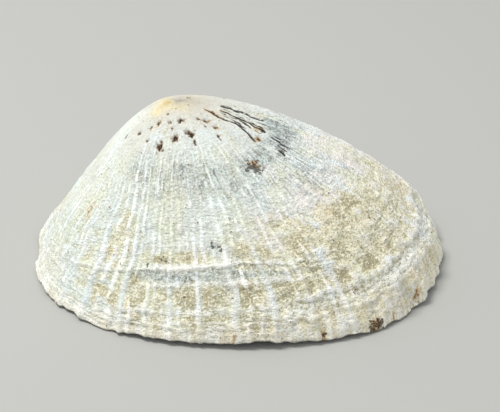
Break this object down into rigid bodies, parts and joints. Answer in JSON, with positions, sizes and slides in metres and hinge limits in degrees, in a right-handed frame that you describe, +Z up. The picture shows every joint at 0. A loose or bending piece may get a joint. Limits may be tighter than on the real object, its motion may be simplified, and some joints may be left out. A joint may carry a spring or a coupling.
{
  "type": "limpet shell",
  "caption": "Low leaning cone of thick worn shell with radial ribs, growth ledges and a smooth hollow, standing on its oval rim.",
  "frame": {"origin": "under the middle of the shell's box, on the plane that its rim stands on", "axes": "+Z up from the rim to the top, +X along the shell's length to its broad hind end, so the top leans towards -X, the head end"},
  "size_m": [0.0519, 0.0438, 0.0218],
  "materials": {
    "shell": "chalky, worn, sea-bleached shell"
  },
  "bodies": {
    "root": {"limpet_shell": "shell"}
  },
  "joints": []
}
